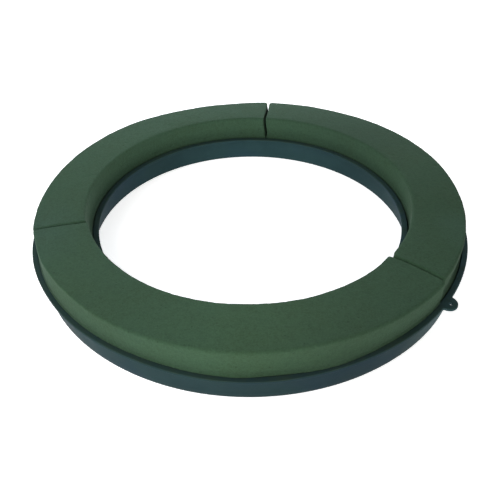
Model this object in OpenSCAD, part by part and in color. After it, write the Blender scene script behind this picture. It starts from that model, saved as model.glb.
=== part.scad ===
// Floral foam wreath frame, lying flat with its open tray upwards.
// A moulded ring tray holds three curved blocks of foam that butt together at radial cuts.
// Origin: centre of the ring on the plane it rests on. +Z is up, -Y is the front.

/* [Tray] */
// Outer diameter at the lip
tray_d = 300; // [294:1:306]
// Height of the tray, base to lip
tray_h = 20.5; // [18:0.5:24]
// Width of the whole section, lip edge to lip edge
tray_w = 43.1; // [42:0.1:45]
// How far the flat lip stands out from the outer wall
outer_lip = 2.3; // [1.5:0.1:3]
// How far the flat lip stands out from the inner wall
inner_lip = 2.8; // [1.5:0.1:3.5]
// Thickness of the lip
lip_t = 2; // [1.6:0.1:2.4]
// Lean of the outer wall, top beyond base
outer_lean = 2.2; // [1.5:0.1:3]
// Lean of the inner wall, base beyond top
inner_lean = 3.8; // [3:0.1:4.5]
// Thickness of both walls
wall_t = 1.2; // [1:0.1:1.4]
// Thickness of the floor
floor_t = 1.6; // [1.2:0.1:2]
// Rounding of the base corners
base_r = 0.8; // [0.5:0.1:1.5]

/* [Floor ribs and pins] */
// Number of radial ribs that hold the foam off the floor
rib_count = 12; // [6:1:24]
// Height of each rib above the floor
rib_h = 2.4; // [1:0.2:3]
// Thickness of each rib
rib_t = 1.4; // [1:0.1:2]
// Height of each foam pin above the floor
pin_h = 14; // [8:1:16]
// Radius of a pin at its root
pin_root_r = 2.2; // [1.5:0.1:3]
// Radius of a pin at its tip
pin_tip_r = 0.8; // [0.5:0.1:1.2]
// Angle between a block's middle and each of its two pins
pin_spread = 34; // [25:1:40]

/* [Hanging tab] */
// Azimuth of the tab
tab_azimuth = -39.6; // [-45:0.1:-35]
// Radius of the tab's round end
tab_r = 5.7; // [4.5:0.1:6.5]
// How far the centre of the round end lies beyond the lip
tab_reach = 0.1; // [0:0.1:1]
// Radius of the hole
tab_hole_r = 1.2; // [1:0.1:1.5]
// How far the hole's centre lies beyond the lip
tab_hole_reach = 1.6; // [1.6:0.1:2.5]

/* [Foam] */
// Height of the foam's top above the ground
foam_top = 38; // [33:0.5:40]
// Outer radius of the foam above the tray
foam_outer_r = 146; // [145:0.1:146.1]
// Inner radius of the foam above the tray
foam_inner_r = 111.9; // [111.5:0.1:113]
// Rounding of the foam's top edges
foam_edge_r = 2; // [1:0.5:4]
// Clearance between foam and tray
foam_gap = 0.5; // [0.3:0.05:0.55]

/* [Cuts between the blocks] */
// Azimuth of the rear cut
rear_cut = 83; // [75:1:91]
// Azimuth of the left cut
left_cut = 198; // [190:1:206]
// Azimuth of the right cut
right_cut = 319; // [311:1:327]
// Width of the rear cut
rear_cut_w = 2.2; // [0.8:0.1:3]
// Width of the left cut
left_cut_w = 1.2; // [0.6:0.1:3]
// Width of the right cut
right_cut_w = 1; // [0.6:0.1:3]

/* [Hidden] */
$fn = 96;
arc_steps = 8;
turn = 360;
overlap = 0.6;
tray_color = [0.17, 0.26, 0.26];
foam_color = [0.26, 0.36, 0.27];

rim_r = tray_d / 2;
hole_r = rim_r - tray_w;
lip_z = tray_h - lip_t;
outer_wall_r = rim_r - outer_lip;
inner_wall_r = hole_r + inner_lip;
base_outer_r = outer_wall_r - outer_lean;
base_inner_r = inner_wall_r + inner_lean;
foam_bottom = floor_t + rib_h;
pin_ring_r = (base_outer_r + base_inner_r) / 2;
pin_clear = 0.35;
rib_end_gap = 1;
tab_step = 0.15;
tab_t = lip_t - 2 * tab_step;
tab_z = lip_z + tab_step;

// Radius of the tray's outer and inner faces at height z
function outer_face(z) = base_outer_r + outer_lean * z / lip_z;
function inner_face(z) = base_inner_r - inner_lean * z / lip_z;

// Heights below which the foam narrows to follow the leaning walls
foam_outer_knee = (foam_outer_r + wall_t + foam_gap - base_outer_r) * lip_z / outer_lean;
foam_inner_knee = (base_inner_r + wall_t + foam_gap - foam_inner_r) * lip_z / inner_lean;

// Points of a round corner about (x, z), counter-clockwise from angle a to angle b
function corner(x, z, r, a, b) =
    [for (i = [0 : arc_steps]) let (t = a + (b - a) * i / arc_steps) [x + r * cos(t), z + r * sin(t)]];

// Section of the tray in the plane through the ring's axis
module tray_section() {
    polygon(concat(
        corner(base_inner_r + base_r, base_r, base_r, 180, 270),
        corner(base_outer_r - base_r, base_r, base_r, 270, 360),
        [[outer_wall_r, lip_z], [rim_r, lip_z], [rim_r, tray_h], [outer_wall_r - wall_t, tray_h]],
        [[outer_face(floor_t) - wall_t, floor_t], [inner_face(floor_t) + wall_t, floor_t]],
        [[inner_wall_r + wall_t, tray_h], [hole_r, tray_h], [hole_r, lip_z], [inner_wall_r, lip_z]]
    ));
}

// Low rib across the floor, along +X
module floor_rib() {
    start_r = inner_face(foam_bottom) + wall_t + rib_end_gap;
    end_r = outer_face(floor_t) - wall_t - rib_end_gap;
    translate([start_r, -rib_t / 2, floor_t - overlap])
        cube([end_r - start_r, rib_t, rib_h + overlap]);
}

// Upright pin on the floor, at azimuth 0; extra widens it into the foam's socket
module foam_pin(extra) {
    translate([pin_ring_r, 0, floor_t - overlap])
        cylinder(h = pin_h + overlap + extra, r1 = pin_root_r + extra, r2 = pin_tip_r + extra);
}

// Round tab, a little thinner than the lip that it grows out of
module tab_plate() {
    translate([rim_r + tab_reach, 0, tab_z])
        cylinder(h = tab_t, r = tab_r);
}

module tab_hole() {
    translate([rim_r + tab_hole_reach, 0, lip_z - overlap])
        cylinder(h = lip_t + 2 * overlap, r = tab_hole_r);
}

// Space inside the middle of the lip, which the tab's plate doesn't need
module tab_limit() {
    translate([0, 0, lip_z - overlap])
        cylinder(h = lip_t + 2 * overlap, r = rim_r - outer_lip / 2);
}

// Places children at both pins of the block between azimuths a and b
module at_pins(a, b) {
    middle = (a + b) / 2;
    for (side = [-1, 1])
        rotate([0, 0, middle + side * pin_spread])
            children();
}

module tray() {
    color(tray_color) {
        difference() {
            union() {
                rotate_extrude()
                    tray_section();
                difference() {
                    rotate([0, 0, tab_azimuth])
                        tab_plate();
                    tab_limit();
                }
            }
            rotate([0, 0, tab_azimuth])
                tab_hole();
        }
        for (i = [0 : rib_count - 1])
            rotate([0, 0, turn * (i + 0.5) / rib_count])
                floor_rib();
        at_pins(left_cut, right_cut)
            foam_pin(0);
        at_pins(right_cut, rear_cut + turn)
            foam_pin(0);
        at_pins(rear_cut, left_cut)
            foam_pin(0);
    }
}

// Section of the foam: narrow in the channel, upright above it, round at the top edges
module foam_section() {
    polygon(concat(
        [[inner_face(foam_bottom) + wall_t + foam_gap, foam_bottom]],
        [[outer_face(foam_bottom) - wall_t - foam_gap, foam_bottom]],
        [[foam_outer_r, foam_outer_knee]],
        corner(foam_outer_r - foam_edge_r, foam_top - foam_edge_r, foam_edge_r, 0, 90),
        corner(foam_inner_r + foam_edge_r, foam_top - foam_edge_r, foam_edge_r, 90, 180),
        [[foam_inner_r, foam_inner_knee]]
    ));
}

// Slab that opens a cut of width w at azimuth a
module cut_slab(a, w) {
    rotate([0, 0, a])
        translate([foam_inner_r / 2, -w / 2, 0])
            cube([rim_r, w, foam_top + overlap]);
}

// Foam block between the cuts at azimuths a and b, with cuts of widths wa and wb
module foam_block(a, b, wa, wb) {
    color(foam_color)
        difference() {
            rotate([0, 0, a])
                rotate_extrude(angle = b - a)
                    foam_section();
            cut_slab(a, wa);
            cut_slab(b, wb);
            at_pins(a, b)
                foam_pin(pin_clear);
        }
}

module foam_front() {
    foam_block(left_cut, right_cut, left_cut_w, right_cut_w);
}

module foam_right() {
    foam_block(right_cut, rear_cut + turn, right_cut_w, rear_cut_w);
}

module foam_left() {
    foam_block(rear_cut, left_cut, rear_cut_w, left_cut_w);
}

tray();
foam_front();
foam_right();
foam_left();
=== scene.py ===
"""Floral foam wreath frame: three blocks of foam in a moulded ring tray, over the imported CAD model.

Lengths are written in millimetres and azimuths in degrees, as on the CAD model, and turned into metres
and radians where the meshes are made.
"""

import math

import bmesh
import bpy
import numpy as np
from mathutils import Euler, Matrix, Vector


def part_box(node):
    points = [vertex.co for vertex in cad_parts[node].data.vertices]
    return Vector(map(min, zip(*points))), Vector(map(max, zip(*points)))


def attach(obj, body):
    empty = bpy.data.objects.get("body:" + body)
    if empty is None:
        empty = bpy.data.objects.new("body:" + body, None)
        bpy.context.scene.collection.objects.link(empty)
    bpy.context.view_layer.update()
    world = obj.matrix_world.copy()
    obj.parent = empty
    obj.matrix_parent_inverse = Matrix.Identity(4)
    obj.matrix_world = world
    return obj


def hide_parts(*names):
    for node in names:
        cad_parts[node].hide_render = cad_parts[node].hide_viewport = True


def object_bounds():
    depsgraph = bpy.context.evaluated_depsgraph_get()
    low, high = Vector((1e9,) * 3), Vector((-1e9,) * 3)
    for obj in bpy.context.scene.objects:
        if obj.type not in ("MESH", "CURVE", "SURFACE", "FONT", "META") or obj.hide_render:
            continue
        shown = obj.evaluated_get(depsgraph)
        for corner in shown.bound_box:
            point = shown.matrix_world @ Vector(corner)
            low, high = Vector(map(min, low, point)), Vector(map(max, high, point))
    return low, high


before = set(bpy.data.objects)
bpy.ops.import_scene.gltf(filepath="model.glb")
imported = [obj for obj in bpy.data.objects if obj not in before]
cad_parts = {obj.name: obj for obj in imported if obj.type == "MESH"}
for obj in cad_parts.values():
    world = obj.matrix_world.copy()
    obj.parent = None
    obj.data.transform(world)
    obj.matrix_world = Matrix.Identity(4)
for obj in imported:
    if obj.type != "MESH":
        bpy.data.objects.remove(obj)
cad_low, cad_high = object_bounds()

MM = 0.001
RIM_R = (cad_high.x - cad_low.x) / 2 / MM
TRAY_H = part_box("tray")[1].z / MM
FOAM_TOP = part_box("foam_front")[1].z / MM
FOAM_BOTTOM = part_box("foam_front")[0].z / MM

# The tray's section, as on the CAD model
LIP_T = 2.0
LIP_Z = TRAY_H - LIP_T
HOLE_R = RIM_R - 43.1
OUTER_WALL_R, INNER_WALL_R = RIM_R - 2.3, HOLE_R + 2.8
BASE_OUTER_R, BASE_INNER_R = OUTER_WALL_R - 2.2, INNER_WALL_R + 3.8
WALL_T, FLOOR_T = 1.2, 1.6
TAB_AZIMUTH, TAB_R, TAB_REACH = -39.6, 5.7, 0.1
TAB_HOLE_R, TAB_HOLE_REACH = 1.2, 1.6
PIN_RING_R = (BASE_OUTER_R + BASE_INNER_R) / 2
PIN_H, PIN_ROOT_R, PIN_TIP_R, PIN_SPREAD = 14.0, 2.2, 0.8, 34.0
RIB_COUNT, RIB_T = 12, 1.4

# The foam's section and the cuts between its blocks, as on the CAD model
FOAM_OUTER_R, FOAM_INNER_R, FOAM_GAP = 146.0, 111.9, 0.5
REAR, LEFT, RIGHT = 83.0, 198.0, 319.0


# ---------------------------------------------------------------- shapes in numbers

def smooth(a, b, x):
    """0 below a, 1 above b, and an even S between."""
    t = np.clip((x - a) / (b - a), 0.0, 1.0)
    return t * t * (3 - 2 * t)


def swell(x, centre, width):
    """A single soft bump of height 1."""
    return np.exp(-(((x - centre) / width) ** 2))


def swells(x, bumps):
    """The sum of soft bumps, each given as (height, centre, width)."""
    return sum(height * swell(x, centre, width) for height, centre, width in bumps)


def at(radius, azimuth):
    """The place at a radius and an azimuth in degrees."""
    return radius * math.cos(math.radians(azimuth)), radius * math.sin(math.radians(azimuth))


def grid_value(ix, iy, iz, seed):
    """A repeatable value from -1 to 1 for each whole-number point."""
    n = (ix * 374761393 + iy * 668265263 + iz * 1442695041 + seed * 974711) & 0xFFFFFFFF
    n = ((n ^ (n >> 13)) * 1274126177) & 0xFFFFFFFF
    n = ((n ^ (n >> 15)) * 2246822519) & 0xFFFFFFFF
    return ((n ^ (n >> 16)) & 0xFFFF) / 32767.5 - 1.0


def noise(points, size, seed):
    """Smooth noise from -1 to 1 at each point, with features about size across."""
    q = points / size
    base = np.floor(q).astype(np.int64)
    t = q - base
    t = t * t * (3 - 2 * t)
    total = np.zeros(len(points))
    for dx in (0, 1):
        for dy in (0, 1):
            for dz in (0, 1):
                w = ((t[:, 0] if dx else 1 - t[:, 0]) * (t[:, 1] if dy else 1 - t[:, 1])
                     * (t[:, 2] if dz else 1 - t[:, 2]))
                total += w * grid_value(base[:, 0] + dx, base[:, 1] + dy, base[:, 2] + dz, seed)
    return total


def arc(x, z, r, a, b, n):
    """Points of a round corner about (x, z) from angle a to angle b."""
    return [(x + r * math.cos(math.radians(a + (b - a) * i / n)),
             z + r * math.sin(math.radians(a + (b - a) * i / n))) for i in range(n + 1)]


def outer_face(z):
    """Radius of the tray's outer face at height z."""
    return BASE_OUTER_R + (OUTER_WALL_R - BASE_OUTER_R) * z / LIP_Z


def inner_face(z):
    """Radius of the tray's inner face at height z."""
    return BASE_INNER_R + (INNER_WALL_R - BASE_INNER_R) * z / LIP_Z


def along(points, counts):
    """Splits each straight piece of a path into its number of steps."""
    out = []
    for (x0, z0), (x1, z1), n in zip(points, points[1:], counts):
        out += [(x0 + (x1 - x0) * i / n, z0 + (z1 - z0) * i / n) for i in range(n)]
    return out


def make_mesh(name, points, faces):
    """A linked object with its points given in mm."""
    mesh = bpy.data.meshes.new(name)
    mesh.from_pydata((np.asarray(points) * MM).tolist(), [], faces)
    mesh.update()
    obj = bpy.data.objects.new(name, mesh)
    bpy.context.scene.collection.objects.link(obj)
    return obj


def loop_faces(rows, cols, closed):
    """Faces between rings of points. Each ring has cols points and is closed on itself."""
    faces = []
    for j in range(rows if closed else rows - 1):
        a, b = j * cols, ((j + 1) % rows) * cols
        faces += [(a + i, b + i, b + (i + 1) % cols, a + (i + 1) % cols) for i in range(cols)]
    return faces


def outward(obj):
    """Turns every face's front side outwards."""
    bm = bmesh.new()
    bm.from_mesh(obj.data)
    bmesh.ops.recalc_face_normals(bm, faces=bm.faces)
    bm.to_mesh(obj.data)
    bm.free()


def smooth_shading(obj, sharp_from=None):
    obj.data.polygons.foreach_set("use_smooth", [True] * len(obj.data.polygons))
    if sharp_from is not None:
        obj.data.set_sharp_from_angle(angle=math.radians(sharp_from))
    obj.data.update()


# ---------------------------------------------------------------- the tray

# Roundings of the moulding: its base, the edges of its lips, the channel's mouth, and under the lips
BASE_R, LIP_EDGE_R, MOUTH_R, UNDER_R = 0.8, 0.5, 0.4, 0.6
# Steps round the tray, the hanging hole and each pin
TRAY_STEPS, HOLE_STEPS, PIN_STEPS = 560, 56, 32
# Edges of the tray that turn by more degrees than this stay sharp
SHARP_ANGLE = 38

# Where the thin lip and the base stand out of true: (how far, azimuth, width in degrees)
LIP_BUMPS = ((1.35, 270, 15), (-0.7, 241, 12), (-0.45, 217, 10), (0.6, 199, 12), (-0.3, 305, 16))
BASE_BUMPS = ((0.3, 262, 22), (0.5, 217, 14), (0.6, 319, 14), (0.35, 292, 24))
INNER_BASE_BUMPS = ((-0.35, 75, 50),)


def tray_profile():
    """The tray's section as a closed path of (radius, height), with its soft moulded edges."""
    low, high = LIP_Z + LIP_EDGE_R, TRAY_H - LIP_EDGE_R
    under = LIP_Z - UNDER_R
    floor_out, floor_in = outer_face(FLOOR_T) - WALL_T, inner_face(FLOOR_T) + WALL_T
    wall_low, wall_high = FLOOR_T + BASE_R, TRAY_H - 4
    p = []
    # Base and outer wall
    p += arc(BASE_INNER_R + BASE_R, BASE_R, BASE_R, 180, 270, 6)
    p += arc(BASE_OUTER_R - BASE_R, BASE_R, BASE_R, 270, 360, 6)
    p += along([(outer_face(1.2), 1.2), (outer_face(under), under)], [6])
    # Outer lip
    p += arc(OUTER_WALL_R + 0.55, under, UNDER_R, 177, 90, 4)
    p += arc(RIM_R - LIP_EDGE_R, low, LIP_EDGE_R, 270, 360, 5)
    p += arc(RIM_R - LIP_EDGE_R, high, LIP_EDGE_R, 0, 90, 5)
    p += [(RIM_R - 1.3, TRAY_H)]
    # Inside of the channel
    p += arc(OUTER_WALL_R - WALL_T + MOUTH_R, TRAY_H - MOUTH_R, MOUTH_R, 90, 180, 4)
    p += along([(outer_face(wall_high) - WALL_T, wall_high), (outer_face(wall_low) - WALL_T, wall_low)], [5])
    p += arc(floor_out - BASE_R, wall_low, BASE_R, 0, -90, 4)
    p += along([(floor_out - 2, FLOOR_T), (floor_in + 2, FLOOR_T)], [8])
    p += arc(floor_in + BASE_R, wall_low, BASE_R, 270, 180, 4)
    p += along([(inner_face(wall_low) + WALL_T, wall_low), (inner_face(wall_high) + WALL_T, wall_high)], [5])
    p += arc(INNER_WALL_R + WALL_T - MOUTH_R, TRAY_H - MOUTH_R, MOUTH_R, 0, 90, 4)
    # Inner lip and wall
    p += [(HOLE_R + 2.2, TRAY_H)]
    p += arc(HOLE_R + LIP_EDGE_R, high, LIP_EDGE_R, 90, 180, 5)
    p += arc(HOLE_R + LIP_EDGE_R, low, LIP_EDGE_R, 180, 270, 5)
    p += arc(INNER_WALL_R - 0.55, under, UNDER_R, 90, 12, 4)
    p += along([(inner_face(LIP_Z - 0.9), LIP_Z - 0.9), (inner_face(1.0), 1.0)], [6])
    return p


def tab_outline():
    """Half of the hanging tab's edge: (radial, tangential) beyond the lip, with its outward direction."""
    fillet = 0.9
    fillet_y = math.sqrt((TAB_R + fillet) ** 2 - fillet ** 2)
    meet = math.degrees(math.atan2(fillet_y, fillet))
    out = []
    for a in np.linspace(0, meet, 26):
        a = math.radians(a)
        out.append((TAB_R * math.cos(a), TAB_R * math.sin(a), math.cos(a), math.sin(a)))
    for a in np.linspace(meet - 180, -180, 9)[1:]:
        a = math.radians(a)
        place = (fillet + fillet * math.cos(a), fillet_y + fillet * math.sin(a))
        out.append((*place, -math.cos(a), -math.sin(a)))
    return out


def tray_stations():
    """Azimuths round the tray, each with the tab's edge there or None."""
    half = tab_outline()
    centre_r = RIM_R + TAB_REACH
    tab = [(-math.atan2(y, centre_r + x), (x, -y, nx, -ny)) for x, y, nx, ny in half[:0:-1]]
    tab += [(math.atan2(y, centre_r + x), (x, y, nx, ny)) for x, y, nx, ny in half]
    reach = tab[-1][0] + math.radians(0.25)
    plain = np.linspace(reach, 2 * math.pi - reach, TRAY_STEPS)
    return [(a + math.radians(TAB_AZIMUTH), edge) for a, edge in tab + [(float(a), None) for a in plain]]


def warp(azimuth, r, z):
    """How far the thin walls and the outer lip stand out of true, at azimuths in degrees."""
    lip = swells(azimuth, LIP_BUMPS)
    base = swells(azimuth, BASE_BUMPS)
    up = np.clip(z / TRAY_H, 0, 1) ** 1.5
    outer = base + (lip - base) * up
    inner = swells(azimuth, INNER_BASE_BUMPS) * (1 - up)
    return outer * smooth(128, 144, r) + inner * smooth(124, 112, r)


def ring_of_tray():
    """The moulded ring with its hanging tab, still without the tab's hole, ribs and pins."""
    profile = tray_profile()
    stations = tray_stations()
    axis = math.radians(TAB_AZIMUTH)
    outwards = np.array([math.cos(axis), math.sin(axis)])
    sideways = np.array([-math.sin(axis), math.cos(axis)])
    tiny = 1e-6
    points = []
    for angle, edge in stations:
        for r, z in profile:
            inset = RIM_R - r
            if edge is not None and inset <= LIP_EDGE_R + tiny and z >= LIP_Z - tiny:
                x, y, nx, ny = edge
                q = outwards * (RIM_R + TAB_REACH + x - inset * nx) + sideways * (y - inset * ny)
                points.append((q[0], q[1], z))
            else:
                points.append((r * math.cos(angle), r * math.sin(angle), z))
    points = np.array(points)
    radius = np.hypot(points[:, 0], points[:, 1])
    azimuth = np.degrees(np.arctan2(points[:, 1], points[:, 0])) % 360
    points[:, :2] *= (1 + warp(azimuth, radius, points[:, 2]) / radius)[:, None]
    obj = make_mesh("ring_tray", points, loop_faces(len(stations), len(profile), True))
    outward(obj)
    return obj


def turned(centre, path, count):
    """A solid turned about an upright axis at centre, from a path of (radius, height)."""
    points = []
    for r, z in path:
        turns = [2 * math.pi * i / count for i in range(count)]
        points += [(centre[0] + r * math.cos(t), centre[1] + r * math.sin(t), z) for t in turns]
    faces = loop_faces(len(path), count, False)
    faces += [tuple(range(count))[::-1], tuple((len(path) - 1) * count + i for i in range(count))]
    return points, faces


def tab_cutter():
    """The hanging hole, flared a little where it meets both faces of the tab."""
    flare = 0.04
    wide = TAB_HOLE_R + flare
    path = [(wide, LIP_Z - 1), (wide, LIP_Z)]
    path += [(TAB_HOLE_R + flare * (1 - math.sin(t)), LIP_Z + flare * (1 - math.cos(t)))
             for t in np.linspace(0.2, math.pi / 2, 4)]
    path += [(TAB_HOLE_R + flare * (1 - math.cos(t)), TRAY_H - flare * (1 - math.sin(t)))
             for t in np.linspace(0, math.pi / 2 - 0.2, 4)]
    path += [(wide, TRAY_H), (wide, TRAY_H + 1)]
    obj = make_mesh("tab_cutter", *turned(at(RIM_R + TAB_HOLE_REACH, TAB_AZIMUTH), path, HOLE_STEPS))
    outward(obj)
    return obj


def floor_rib(azimuth):
    """A low rib across the floor, with a rounded top, rounded ends and a fillet at its foot."""
    top_r = 0.65
    fillet = ((0.5, -0.3), (0.35, 0.05), (0.1, 0.25), (0.0, 0.6))
    side = [(-RIB_T / 2 - out, FLOOR_T + up) for out, up in fillet]
    side += [(-RIB_T / 2 + 0.05, FOAM_BOTTOM - 0.55)]
    path = side + arc(0, FOAM_BOTTOM - top_r, top_r, 180, 0, 8) + [(-t, z) for t, z in side[::-1]]

    # Each end is round: (how far from the end, how full the rib is there)
    end = ((0.0, 0.0), (0.12, 0.55), (0.5, 0.9), (1.1, 1.0))
    end_length, steps = end[-1][0], 8
    r0, r1 = inner_face(FOAM_BOTTOM) + WALL_T + 1, outer_face(FLOOR_T) - WALL_T - 1
    rows = [(r0 + d, full) for d, full in end]
    rows += [(r0 + end_length + (r1 - r0 - 2 * end_length) * k / steps, 1.0) for k in range(1, steps)]
    rows += [(r1 - d, full) for d, full in end[::-1]]

    a = math.radians(azimuth)
    base = side[0][1]
    points = []
    for r, full in rows:
        for t, z in path:
            t, z = t * (0.3 + 0.7 * full), base + (z - base) * full
            points.append((r * math.cos(a) - t * math.sin(a), r * math.sin(a) + t * math.cos(a), z))
    return points, loop_faces(len(rows), len(path), False)


def foam_pin(azimuth):
    """An upright pin with a fillet at its root and a blunt tip."""
    tip_r, root_z = 0.6, 0.75
    fillet = ((0.9, -0.4), (0.75, 0.02), (0.3, 0.22), (0.0, root_z))
    path = [(0.01, FLOOR_T - 0.4)]
    path += [(PIN_ROOT_R + out, FLOOR_T + up) for out, up in fillet]
    for k in range(1, 9):
        t = k / 9
        r = PIN_ROOT_R + (PIN_TIP_R + 0.02 - PIN_ROOT_R) * t
        path.append((r, FLOOR_T + root_z + (PIN_H - root_z - tip_r) * t))
    tip_z = FLOOR_T + PIN_H - tip_r
    path += [(PIN_TIP_R * math.cos(t), tip_z + tip_r * math.sin(t))
             for t in np.linspace(0, math.pi / 2 - 0.05, 6)]
    return turned(at(PIN_RING_R, azimuth), path, PIN_STEPS)


def pin_azimuths(a, b):
    """Both pins of the block between azimuths a and b."""
    return [(a + b) / 2 - PIN_SPREAD, (a + b) / 2 + PIN_SPREAD]


def cut_hole(tray):
    """Cuts the hanging hole through the tab."""
    cutter = tab_cutter()
    cut = tray.modifiers.new("hole", "BOOLEAN")
    cut.operation, cut.object, cut.solver = "DIFFERENCE", cutter, "EXACT"
    bpy.context.view_layer.update()
    result = bpy.data.meshes.new_from_object(tray.evaluated_get(bpy.context.evaluated_depsgraph_get()))
    tray.modifiers.clear()
    tray.data = result
    bpy.data.objects.remove(cutter)


def make_tray():
    """The whole moulding, as one piece."""
    tray = ring_of_tray()
    cut_hole(tray)
    parts = [floor_rib(360 * (i + 0.5) / RIB_COUNT) for i in range(RIB_COUNT)]
    for a, b in ((LEFT, RIGHT), (RIGHT, REAR + 360), (REAR, LEFT)):
        parts += [foam_pin(azimuth) for azimuth in pin_azimuths(a, b)]
    bm = bmesh.new()
    bm.from_mesh(tray.data)
    for points, faces in parts:
        verts = [bm.verts.new(np.asarray(p) * MM) for p in points]
        made = [bm.faces.new([verts[i] for i in f]) for f in faces]
        bmesh.ops.recalc_face_normals(bm, faces=made)
    bm.to_mesh(tray.data)
    bm.free()
    smooth_shading(tray, SHARP_ANGLE)
    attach(tray, "tray")
    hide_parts("tray")
    return tray


# ---------------------------------------------------------------- the foam

MIDDLE_R = (FOAM_INNER_R + FOAM_OUTER_R) / 2
MIDDLE_Z = (FOAM_BOTTOM + FOAM_TOP) / 2
HALF_W = (FOAM_OUTER_R - FOAM_INNER_R) / 2
HALF_H = (FOAM_TOP - FOAM_BOTTOM) / 2

# Rounding of the top's outer and inner edge, of the foot, and of the blocks' ends
OUTER_EDGE_R, INNER_EDGE_R, FOOT_R, END_R = 1.8, 1.7, 0.5, 0.8
# Length of a block's mesh cells along the ring, and the number of small dents in its top
CELL_LENGTH = 0.82
DENTS = 9
# How much wider a gap is at the top, where its corners have worn
WORN = 0.35

# How far each side of a block stands out from its plain circle: an amount in mm, and its bumps
# (how far, azimuth, width in degrees)
FRONT_OUTER, FRONT_OUTER_BUMPS = 0.55, ((-0.25, 285, 18), (-0.85, 203, 5.5), (0.7, 270, 13))
FRONT_INNER, FRONT_INNER_BUMPS = -0.2, ((-0.35, 220, 13), (0.3, 254, 14), (-0.45, 300, 12), (-2, 323, 12))
RIGHT_OUTER, RIGHT_OUTER_BUMPS = -0.7, ((-0.6, 417, 12), (0.3, 382, 12))
LEFT_OUTER, LEFT_OUTER_BUMPS = -1.6, ((2.6, 84, 7), (1.6, 134, 12), (2.0, 202, 15), (-0.3, 165, 9))
LEFT_INNER = 0.7


def rear_cut(side, r, z, places):
    """Azimuth in degrees of a block's face at the rear cut.

    The gap wanders in from the outer side, where both corners have broken away to a V.
    """
    # The gap's middle
    line = 82.93 + 0.033 * np.maximum(122 - r, 0) - 0.75 * smooth(36, 21.5, z) * smooth(126, 114, r)
    # 1 inside the V, which ends above the lip
    broken = smooth(142.5, 144.5, r) * smooth(20, 30, z)
    # Half the gap's width in mm, which closes up below the surface and at the lip
    depth = np.minimum(r - FOAM_INNER_R, FOAM_TOP - z)
    half = 0.92 - 0.2 * smooth(128, 134, r)
    half = half - 0.6 * smooth(2, 8, depth) * (1 - broken)
    half = half - 0.6 * smooth(22.6, 21.4, z) + 0.12 * noise(places, 3.0, 31)
    # The V's own two sides
    if side < 0:
        edge = 82.64 - 0.001 * (r - 137) ** 2 - 0.45 * smooth(140, 144.5, r)
        edge = edge - 0.1 * noise(places, 2.4, 32)
    else:
        edge = 83.02 + 0.045 * (r - 137) + 0.45 * smooth(140, 144.5, r)
        edge = edge + 0.08 * noise(places, 2.6, 35)
    plain = line + side * np.degrees(np.maximum(half, 0.08) / r)
    return plain + (edge - plain) * broken


def cut_angle(name, side, r, z):
    """Azimuth in radians of a block's face at a cut. side is -1 before the cut and 1 after it."""
    places = np.stack([r, z, np.full_like(r, side * 7.0)], 1)
    if name == "rear":
        return np.radians(rear_cut(side, r, z, places))
    if name == "left":
        line = 197.75 - 0.5 * (r - 128.5) / 16 + 0.06 * np.sin(r / 3.1)
        half = 0.55 + 0.06 * noise(places, 3.0, 33)
    else:
        line = 319.2 + 0.14 * swell(r, 128, 8)
        half = 0.45 + 0.06 * noise(places, 3.0, 34)
    # The upper corners of both blocks have worn back a little
    return np.radians(line) + side * (half + WORN * smooth(FOAM_TOP - 5, FOAM_TOP, z)) / r


def outline_shift(block, phi, r, z):
    """How far a block's visible part stands out from its plain section, at azimuths phi in degrees."""
    if block == "front":
        outer = FRONT_OUTER + swells(phi, FRONT_OUTER_BUMPS)
        inner = FRONT_INNER + swells(phi, FRONT_INNER_BUMPS)
    elif block == "right":
        outer = RIGHT_OUTER + 2.6 * smooth(350, 396, phi) + swells(phi, RIGHT_OUTER_BUMPS)
        push = -0.5 * np.cos(np.radians(phi)) + 1.5 * np.sin(np.radians(phi))
        inner = push * 0.85 + 1.7 * smooth(322, 319.2, phi)
    else:
        outer = LEFT_OUTER + swells(phi, LEFT_OUTER_BUMPS)
        inner = LEFT_INNER
    across = np.clip((r - FOAM_INNER_R) / (FOAM_OUTER_R - FOAM_INNER_R), 0, 1)
    return (inner + (outer - inner) * across) * smooth(TRAY_H + 0.2, TRAY_H + 5, z)


def foam_section():
    """A foam block's section, anticlockwise: (radius, height, 1 on the top's edges and 0 elsewhere)."""
    foot_in = inner_face(FOAM_BOTTOM) + WALL_T + FOAM_GAP
    foot_out = outer_face(FOAM_BOTTOM) - WALL_T - FOAM_GAP
    knee_out = (FOAM_OUTER_R + WALL_T + FOAM_GAP - BASE_OUTER_R) * LIP_Z / (OUTER_WALL_R - BASE_OUTER_R)
    knee_in = (BASE_INNER_R + WALL_T + FOAM_GAP - FOAM_INNER_R) * LIP_Z / (BASE_INNER_R - INNER_WALL_R)
    top, ro, ri = FOAM_TOP, FOAM_OUTER_R, FOAM_INNER_R
    e_out, e_in = OUTER_EDGE_R, INNER_EDGE_R
    foot_z, foot_top = FOAM_BOTTOM + FOOT_R, FOAM_BOTTOM + 1
    parts = (
        (arc(foot_in + FOOT_R, foot_z, FOOT_R, 180, 270, 2), 0.0),
        (along([(foot_in + 1, FOAM_BOTTOM), (foot_out - FOOT_R, FOAM_BOTTOM)], [46]), 0.0),
        (arc(foot_out - FOOT_R, foot_z, FOOT_R, 270, 360, 2), 0.0),
        (along([(foot_out, foot_top), (ro, knee_out), (ro, top - e_out)], [9, 22]), 0.0),
        (arc(ro - e_out, top - e_out, e_out, 0, 90, 7), 1.0),
        (along([(ro - e_out - 0.6, top), (ri + e_in + 0.5, top)], [44]), 0.0),
        (arc(ri + e_in, top - e_in, e_in, 90, 180, 6), 1.0),
        (along([(ri, top - e_in - 0.5), (ri, knee_in), (foot_in, foot_top)], [22, 9]), 0.0),
    )
    return np.array([(x, z, edge) for path, edge in parts for x, z in path])


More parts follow.
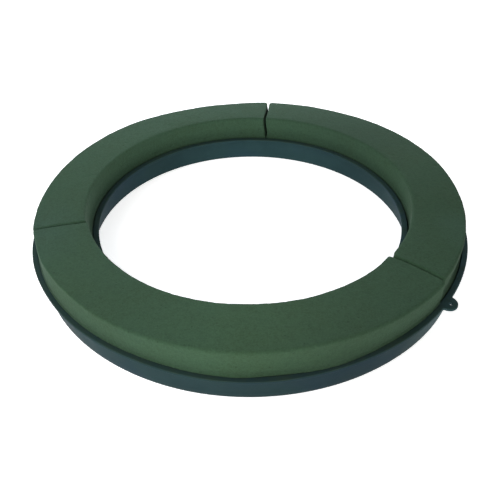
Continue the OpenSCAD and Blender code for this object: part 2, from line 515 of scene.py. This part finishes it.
def foam_rows(length):
    """The rings of a block's mesh: (distance along it, how full the ring is, how far it is drawn in)."""
    ends = [END_R * (1 - math.cos(t)) for t in np.linspace(0, math.pi / 2, 6)]
    steps = int((length - 2 * END_R) / CELL_LENGTH)
    middle = np.linspace(END_R, length - END_R, steps)[1:-1]
    stations = ends + list(middle) + [length - e for e in ends[::-1]]
    face = [0.93, 0.84, 0.72, 0.58, 0.43, 0.28, 0.13, 0.02]
    rows = [(stations[0], full, END_R) for full in face[::-1]]
    for d in stations:
        from_end = min(d, length - d)
        rounded = max(0.0, END_R - from_end)
        rows.append((d, 1.0, END_R - math.sqrt(max(0.0, END_R ** 2 - rounded ** 2))))
    return rows + [(stations[-1], full, END_R) for full in face]


def waver(r, z, angle, seed):
    """The slow unevenness of a block's sides and top, with the top a little domed."""
    places = np.stack([r * np.cos(angle), r * np.sin(angle), z], 1)
    across = np.abs(r - MIDDLE_R) / HALF_W
    sides = 0.22 * noise(places * (1, 1, 0.5), 26, seed) + 0.12 * noise(places, 9, seed + 1)
    top = 0.22 * noise(places * (1, 1, 0), 34, seed + 2) + 0.1 * noise(places * (1, 1, 0), 11, seed + 3)
    top = top + 0.5 * (1 - across ** 2)
    r = r + smooth(TRAY_H, TRAY_H + 4, z) * np.sign(r - MIDDLE_R) * smooth(0.6, 1, across) * sides
    z = z + smooth(FOAM_TOP - 6, FOAM_TOP - 1, z) * top
    return r, z, across


def lean_left(r, z, phi):
    """Towards the left the front block's outer face leans in, and its top edge is less worn."""
    part = swell(phi, 222, 19)
    from_edge = np.hypot(r - FOAM_OUTER_R + 0.5, z - FOAM_TOP + 0.5)
    corner = 0.45 * part * swell(from_edge, 0, 0.9)
    r, z = r + corner, z + corner
    r = r - 1.56 * part * smooth(TRAY_H, FOAM_TOP + 4, z) * smooth(MIDDLE_R, FOAM_OUTER_R - 4, r)
    return r, z


def bulge_foot(r, z, phi):
    """The front block's foot bulges over the rim in the middle, with a thin pressed edge."""
    outside = r > MIDDLE_R
    low = smooth(TRAY_H + 11, TRAY_H + 0.5, z) * smooth(TRAY_H - 0.6, TRAY_H, z)
    r = r + 1.8 * low * (swell(phi, 264, 12) + swell(phi, 286, 10)) * outside
    return r + 0.5 * swell(phi, 268, 4) * swell(z, TRAY_H + 0.5, 0.7) * outside


def rest_on_lips(block, r, z, phi, across):
    """Pressed down on the lips, the foam spreads a little over them."""
    spread = smooth(TRAY_H - 0.3, TRAY_H + 0.1, z) * smooth(TRAY_H + 2.6, TRAY_H + 0.3, z)
    spread = spread * smooth(0.85, 0.97, across)
    if block == "right":
        # Towards the right cut the foot stands back from the lip
        back = swell(phi, 338, 18)
        spread = spread * (1 - back)
        low = smooth(TRAY_H - 0.4, TRAY_H + 0.1, z) * smooth(FOAM_TOP - 3, TRAY_H + 2, z)
        r = r - 1.5 * back * low * smooth(MIDDLE_R, FOAM_OUTER_R - 2, r)
    return r + 0.9 * spread * np.sign(r - MIDDLE_R)


def pin_sockets(a, b, r, z, angle):
    """How far the foam's underside is hollowed upwards, to fit over the tray's pins."""
    depth = PIN_H + FLOOR_T - FOAM_BOTTOM + 0.6
    rise = np.zeros_like(z)
    for azimuth in pin_azimuths(a, b):
        x, y = at(PIN_RING_R, azimuth)
        away = np.hypot(r * np.cos(angle) - x, r * np.sin(angle) - y)
        rise += depth * np.clip((PIN_ROOT_R + 0.7 - away) / (PIN_ROOT_R - PIN_TIP_R), 0, 1)
    return rise * (z < FOAM_BOTTOM + 0.3)


def roughness(points, edge, a, b, seed):
    """How far each point moves outwards for the foam's fine unevenness, crumbled edges and small dents."""
    shift = 0.07 * noise(points, 6.0, seed + 4)
    shift = shift + 0.05 * noise(points, 2.4, seed + 5) + 0.03 * noise(points, 1.3, seed + 6)
    crumbs = np.clip(noise(points, 3.2, seed + 7) - 0.15, 0, 1) * 0.16
    crumbs = crumbs + np.clip(noise(points, 1.7, seed + 8) - 0.2, 0, 1) * 0.14
    shift = (shift - crumbs * edge) * smooth(TRAY_H - 6, TRAY_H, points[:, 2])
    rng = np.random.default_rng(seed)
    for _ in range(DENTS):
        azimuth = rng.uniform(a + 4, b - 4)
        radius = rng.uniform(FOAM_INNER_R + 2, FOAM_OUTER_R - 2)
        size = rng.uniform(0.7, 1.5)
        dent = np.array([*at(radius, azimuth), FOAM_TOP])
        shift -= rng.uniform(0.2, 0.45) * np.exp(-(((points - dent) ** 2).sum(1)) / size ** 2)
    return shift


def make_foam(block, name, a, b, cut_a, cut_b, seed):
    """The block between azimuths a and b, in degrees, where cut_a and cut_b name the cuts."""
    section = foam_section()
    cols = len(section)
    length = math.radians(b - a) * MIDDLE_R
    rows = foam_rows(length)
    from_r, from_z = section[:, 0] - MIDDLE_R, section[:, 1] - MIDDLE_Z
    r = np.concatenate([MIDDLE_R + from_r * (1 - inset / HALF_W) * full for d, full, inset in rows])
    z = np.concatenate([MIDDLE_Z + from_z * (1 - inset / HALF_H) * full for d, full, inset in rows])
    t = np.repeat([d / length for d, full, inset in rows], cols)
    top_edge = np.concatenate([section[:, 2] * (full == 1.0) for d, full, inset in rows])
    end_edge = np.repeat([float(full == 1.0 and inset > 0.02) for d, full, inset in rows], cols)
    edge = np.maximum(top_edge, end_edge * (z > TRAY_H + 1))

    start, end = cut_angle(cut_a, 1, r, z), cut_angle(cut_b, -1, r, z)
    end = np.where(end < start, end + 2 * math.pi, end)
    angle = start + (end - start) * t
    phi = np.degrees(angle)
    phi = np.where(phi < a - 20, phi + 360, phi)

    if block == "front":
        r, z = lean_left(r, z, phi)
    r = r + outline_shift(block, phi, r, z)
    r, z, across = waver(r, z, angle, seed)
    if block == "front":
        r = bulge_foot(r, z, phi)
    r = rest_on_lips(block, r, z, phi, across)
    z = z + pin_sockets(a, b, r, z, angle)

    points = np.stack([r * np.cos(angle), r * np.sin(angle), z], 1)
    count = len(points)
    faces = loop_faces(len(rows), cols, False)
    faces += [tuple(range(cols)), tuple(count - cols + i for i in range(cols))[::-1]]
    obj = make_mesh(name, points, faces)
    outward(obj)

    normals = np.empty(count * 3)
    obj.data.vertex_normals.foreach_get("vector", normals)
    points = points + normals.reshape(-1, 3) * roughness(points, edge, a, b, seed)[:, None]
    obj.data.vertices.foreach_set("co", (points * MM).ravel())
    smooth_shading(obj)
    node = "foam_" + block
    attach(obj, node)
    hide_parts(node)
    return obj


# ---------------------------------------------------------------- materials

class Shader:
    """A material's node tree, with short calls to add and link nodes."""

    def __init__(self, name):
        self.material = bpy.data.materials.new(name)
        self.material.use_nodes = True
        self.tree = self.material.node_tree
        self.bsdf = self.tree.nodes["Principled BSDF"]
        self.where = self.add("ShaderNodeTexCoord").outputs["Object"]

    def add(self, kind, **props):
        node = self.tree.nodes.new(kind)
        for key, value in props.items():
            setattr(node, key, value)
        return node

    def put(self, socket, value):
        """Links a socket to another one, or sets its value."""
        if isinstance(value, bpy.types.NodeSocket):
            self.tree.links.new(value, socket)
        else:
            socket.default_value = value

    def surface(self, **values):
        """Sets the shader's own sockets, with _ for each space in their names."""
        for key, value in values.items():
            self.put(self.bsdf.inputs[key.replace("_", " ")], value)

    def noise(self, scale, detail, rough):
        n = self.add("ShaderNodeTexNoise")
        self.put(n.inputs["Vector"], self.where)
        self.put(n.inputs["Scale"], scale)
        self.put(n.inputs["Detail"], detail)
        self.put(n.inputs["Roughness"], rough)
        return n.outputs["Fac"]

    def cells(self, scale):
        """Distance to the middle of the nearest cell."""
        n = self.add("ShaderNodeTexVoronoi", feature="F1")
        self.put(n.inputs["Vector"], self.where)
        self.put(n.inputs["Scale"], scale)
        return n.outputs["Distance"]

    def span(self, value, a, b, low=0.0, high=1.0):
        """value from a..b carried to low..high, clamped."""
        n = self.add("ShaderNodeMapRange")
        self.put(n.inputs["Value"], value)
        for key, x in (("From Min", a), ("From Max", b), ("To Min", low), ("To Max", high)):
            self.put(n.inputs[key], x)
        return n.outputs["Result"]

    def times(self, a, b):
        n = self.add("ShaderNodeMath", operation="MULTIPLY")
        self.put(n.inputs[0], a)
        self.put(n.inputs[1], b)
        return n.outputs[0]

    def mix(self, factor, a, b, blend="MIX"):
        """Carries color a towards color b, or towards a times b with blend MULTIPLY."""
        n = self.add("ShaderNodeMix", data_type="RGBA", blend_type=blend)
        self.put(n.inputs["Factor"], factor)
        self.put(n.inputs[6], a if isinstance(a, bpy.types.NodeSocket) else (*a, 1))
        self.put(n.inputs[7], b if isinstance(b, bpy.types.NodeSocket) else (*b, 1))
        return n.outputs[2]

    def height(self):
        n = self.add("ShaderNodeSeparateXYZ")
        self.put(n.inputs[0], self.where)
        return n.outputs["Z"]

    def near(self, place, reach):
        """1 at a place, fading to 0 at reach from it, all in mm."""
        n = self.add("ShaderNodeVectorMath", operation="DISTANCE")
        self.put(n.inputs[0], self.where)
        self.put(n.inputs[1], tuple(x * MM for x in place))
        return self.span(n.outputs["Value"], reach * MM, 0.0)

    def bump(self, height, distance, strength, over=None):
        """The surface's direction, for relief of so many metres, over another relief if there is one."""
        n = self.add("ShaderNodeBump")
        self.put(n.inputs["Height"], height)
        self.put(n.inputs["Distance"], distance)
        self.put(n.inputs["Strength"], strength)
        if over is not None:
            self.put(n.inputs["Normal"], over)
        return n.outputs["Normal"]


# The materials' colors, linear
FOAM_COLOR = (0.0290, 0.0643, 0.0361)
# Painted shade at the foam's foot: what its color is multiplied by there
FOOT_SHADE_FACTORS = (0.1, 0.16, 0.12)
PLASTIC_COLOR = (0.0170, 0.0402, 0.0440)
# Painted green bounce and reflection of the foam on the lips
FOAM_BOUNCE_COLOR = (0.0275, 0.0480, 0.0350)

# Painted light and shade round the ring, lighter or darker where the lamps fall more or less strongly, with
# bluish painted highlights on two stretches of the outer wall: (place, reach, what the color is multiplied
# by)
FOAM_LIGHT_AND_SHADE = (
    ((125, -20, 37), 130, (0.72, 0.78, 0.69)),
    ((10, -125, 38), 80, (1.25, 1.22, 1.12)),
    ((-60, 115, 38), 110, (1.05, 1.04, 1.06)),
    ((-127, -20, 38), 70, (0.93, 0.92, 0.91)),
    ((-90, -100, 38), 70, (0.98, 0.96, 0.92)),
    ((-145, -50, 26), 45, (1.12, 1.08, 1.35)),
    ((142, -50, 26), 30, (1.3, 1.25, 1.6)),
    ((50, -145, 26), 70, (0.81, 0.78, 0.79)),
    ((80, 80, 26), 70, (0.82, 0.82, 0.84)),
)
# Painted light and shade on the tray's walls, darker at the front right and lighter inside at the back and
# outside at the right: (place, reach, what the color is multiplied by)
PLASTIC_LIGHT_AND_SHADE = (
    ((55, -140, TRAY_H / 2), 90, (0.76, 0.76, 0.76)),
    ((0, 112, TRAY_H / 2), 70, (1.22, 1.22, 1.22)),
    ((137, -64, TRAY_H / 2), 75, (2.3, 2.3, 2.3)),
)


def tint(color, factor, shift=(1, 1, 1)):
    """A color made lighter or darker by factor, with each channel shifted."""
    return tuple(c * factor * s for c, s in zip(color, shift))


def foam_material():
    s = Shader("floral_foam")
    # Broad clouds, patches, mottle and grain
    broad = s.span(s.noise(38, 3, 0.55), 0.36, 0.64)
    patch = s.span(s.noise(150, 3, 0.6), 0.35, 0.65)
    mottle = s.span(s.noise(430, 2, 0.6), 0.34, 0.66)
    grain = s.span(s.noise(950, 2, 0.7), 0.34, 0.66)
    warm = tint(FOAM_COLOR, 0.94, (1.04, 1.0, 0.93))
    cool = tint(FOAM_COLOR, 1.05, (0.97, 1.0, 1.06))
    color = s.mix(broad, warm, cool)
    for pattern, amount, factor in ((patch, 0.35, 0.86), (mottle, 0.75, 1.22), (grain, 0.6, 1.42)):
        color = s.mix(s.times(pattern, amount), color, tint(FOAM_COLOR, factor))
    # Painted light and shade round the ring
    for place, reach, factors in FOAM_LIGHT_AND_SHADE:
        color = s.mix(s.near(place, reach), color, factors, "MULTIPLY")
    # Painted shade at the foot, just above the tray, standing in for the lip's occlusion and the light
    # falling from above
    foot_shade = s.span(s.height(), (TRAY_H + 0.5) * MM, (TRAY_H + 10) * MM, 0.32, 0.0)
    color = s.mix(foot_shade, color, FOOT_SHADE_FACTORS, "MULTIPLY")
    # Pores, and a few larger pits, painted darker at their middles as shade in the hollows
    pore = s.span(s.cells(1500), 0.0, 0.45)
    color = s.mix(s.span(pore, 0.0, 0.5, 0.45, 0.0), color, tint(FOAM_COLOR, 0.55))
    pit = s.span(s.cells(210), 0.05, 0.13)
    color = s.mix(s.span(pit, 0, 1, 0.35, 0), color, tint(FOAM_COLOR, 0.4))
    relief = s.bump(s.noise(420, 3, 0.6), 0.00035, 0.45)
    relief = s.bump(pore, 0.00022, 0.55, relief)
    relief = s.bump(pit, 0.0004, 0.5, relief)
    s.surface(Base_Color=color, Roughness=0.93, Specular_IOR_Level=0.22, Normal=relief)
    return s.material


def plastic_material():
    s = Shader("tray_plastic")
    # Faint clouds, bluer stretches that are a painted reflection of bluish surroundings, and pale specks
    cloud = s.span(s.noise(30, 3, 0.6), 0.35, 0.65)
    color = s.mix(cloud, tint(PLASTIC_COLOR, 0.92), tint(PLASTIC_COLOR, 1.1, (1.02, 1.0, 0.98)))
    sky_reflection = s.span(s.noise(17, 2, 0.5), 0.45, 0.62)
    color = s.mix(s.times(sky_reflection, 0.8), color, tint(PLASTIC_COLOR, 1.0, (1.0, 0.96, 1.2)))
    speck = s.span(s.noise(1400, 1, 0.5), 0.62, 0.74)
    color = s.mix(s.times(speck, 0.18), color, tint(PLASTIC_COLOR, 1.9))
    # Painted light and shade on the walls
    for place, reach, factors in PLASTIC_LIGHT_AND_SHADE:
        color = s.mix(s.near(place, reach), color, factors, "MULTIPLY")
    # Painted green bounce and reflection of the foam, in patches on the tops of the lips
    foam_bounce = s.span(s.height(), (TRAY_H - 1.0) * MM, (TRAY_H - 0.2) * MM)
    foam_bounce = s.times(foam_bounce, s.span(s.noise(130, 3, 0.6), 0.3, 0.7, 0.3, 0.8))
    color = s.mix(foam_bounce, color, FOAM_BOUNCE_COLOR)
    wear = s.span(s.noise(70, 4, 0.65), 0.3, 0.7, 0.40, 0.50)
    relief = s.bump(s.noise(2600, 2, 0.5), 0.00006, 0.35)
    relief = s.bump(s.noise(60, 2, 0.5), 0.0008, 0.12, relief)
    s.surface(Base_Color=color, Roughness=wear, Specular_IOR_Level=0.015, Normal=relief)
    return s.material


def floor_material():
    """A white floor that glows evenly, like a light table."""
    s = Shader("studio_floor")
    s.surface(Base_Color=(0.9, 0.9, 0.9, 1), Roughness=0.8, Specular_IOR_Level=0.1)
    s.surface(Emission_Color=(1, 1, 1, 1), Emission_Strength=0.7)
    return s.material


# ---------------------------------------------------------------- studio and camera

FLOOR_SIZE = 24
# Just under the tray's base, so that the two don't lie in one plane
FLOOR_Z = -0.00005

# The camera's distance in rim radii, its angle above the floor, and its tilts, in degrees
CAMERA_DISTANCE = 2.7102
CAMERA_ELEVATION, CAMERA_LOOK_DOWN, CAMERA_ROLL = 37.434, 39.22, -0.62

# Each light: name, azimuth, elevation, distance, (width, height), watts, color
LIGHTS = (
    ("front", 277, 29, 1.5, (1.2, 0.6), 9.8, (1.03, 1.0, 0.94)),
    ("right", 45, 22, 1.5, (1.2, 0.6), 5.5, (0.96, 1.0, 1.04)),
    ("back", 90, 22.6, 0.65, (0.4, 0.4), 2.5, (0.94, 1.0, 1.08)),
    ("back_left", 139, 40, 0.695, (0.4, 0.4), 1.3, (0.94, 1.0, 1.08)),
    ("front_left", 221, 40, 0.697, (0.4, 0.4), 2.45, (1.0, 1.0, 1.02)),
)

# The world's strength at the horizon and overhead, and how high a direction's Z is where it is all dim
HORIZON_GLOW, OVERHEAD_GLOW, OVERHEAD_FROM = 0.5, 0.03, 0.45


def make_camera():
    data = bpy.data.cameras.new("camera")
    data.lens = 39.23
    data.sensor_width = 36
    data.shift_x = -0.001
    data.clip_start, data.clip_end = 0.01, 50
    camera = bpy.data.objects.new("camera", data)
    bpy.context.scene.collection.objects.link(camera)
    distance = CAMERA_DISTANCE * RIM_R * MM
    elevation = math.radians(CAMERA_ELEVATION)
    camera.location = (0, -distance * math.cos(elevation), distance * math.sin(elevation))
    tilt = Euler((math.pi / 2 - math.radians(CAMERA_LOOK_DOWN), 0, 0)).to_matrix()
    roll = Matrix.Rotation(math.radians(CAMERA_ROLL), 3, "Z")
    camera.rotation_euler = (tilt @ roll).to_euler()
    bpy.context.scene.camera = camera


def area_light(name, azimuth, elevation, distance, size, power, color):
    """A soft light that faces the middle of the ring."""
    data = bpy.data.lights.new(name, "AREA")
    data.shape = "RECTANGLE"
    data.size, data.size_y = size
    data.energy = power
    data.color = color
    obj = bpy.data.objects.new(name, data)
    bpy.context.scene.collection.objects.link(obj)
    a, e = math.radians(azimuth), math.radians(elevation)
    place = distance * Vector((math.cos(e) * math.cos(a), math.cos(e) * math.sin(a), math.sin(e)))
    obj.location = place
    obj.rotation_euler = (-place).to_track_quat("-Z", "Y").to_euler()


def make_floor():
    bpy.ops.mesh.primitive_plane_add(size=FLOOR_SIZE, location=(0, 0, FLOOR_Z))
    floor = bpy.context.object
    floor.name = "floor"
    floor.data.materials.append(floor_material())


def make_world():
    """A world that is pale at the horizon and dim overhead."""
    world = bpy.data.worlds.new("studio")
    bpy.context.scene.world = world
    world.use_nodes = True
    tree = world.node_tree
    where = tree.nodes.new("ShaderNodeTexCoord")
    split = tree.nodes.new("ShaderNodeSeparateXYZ")
    fade = tree.nodes.new("ShaderNodeMapRange")
    fade.interpolation_type = "SMOOTHSTEP"
    fade.inputs["From Min"].default_value = 0.0
    fade.inputs["From Max"].default_value = OVERHEAD_FROM
    fade.inputs["To Min"].default_value = HORIZON_GLOW
    fade.inputs["To Max"].default_value = OVERHEAD_GLOW
    background = tree.nodes["Background"]
    background.inputs["Color"].default_value = (1, 1, 1, 1)
    tree.links.new(where.outputs["Generated"], split.inputs[0])
    tree.links.new(split.outputs["Z"], fade.inputs["Value"])
    tree.links.new(fade.outputs["Result"], background.inputs["Strength"])


# ---------------------------------------------------------------- the scene

tray = make_tray()
blocks = [
    make_foam("front", "foam_block_front", LEFT, RIGHT, "left", "right", 11),
    make_foam("right", "foam_block_right", RIGHT, REAR + 360, "right", "rear", 47),
    make_foam("left", "foam_block_left", REAR, LEFT, "rear", "left", 83),
]
tray.data.materials.append(plastic_material())
foam = foam_material()
for block in blocks:
    block.data.materials.append(foam)
make_floor()
for light in LIGHTS:
    area_light(*light)
make_world()
make_camera()
bpy.context.scene.view_settings.view_transform = "Standard"
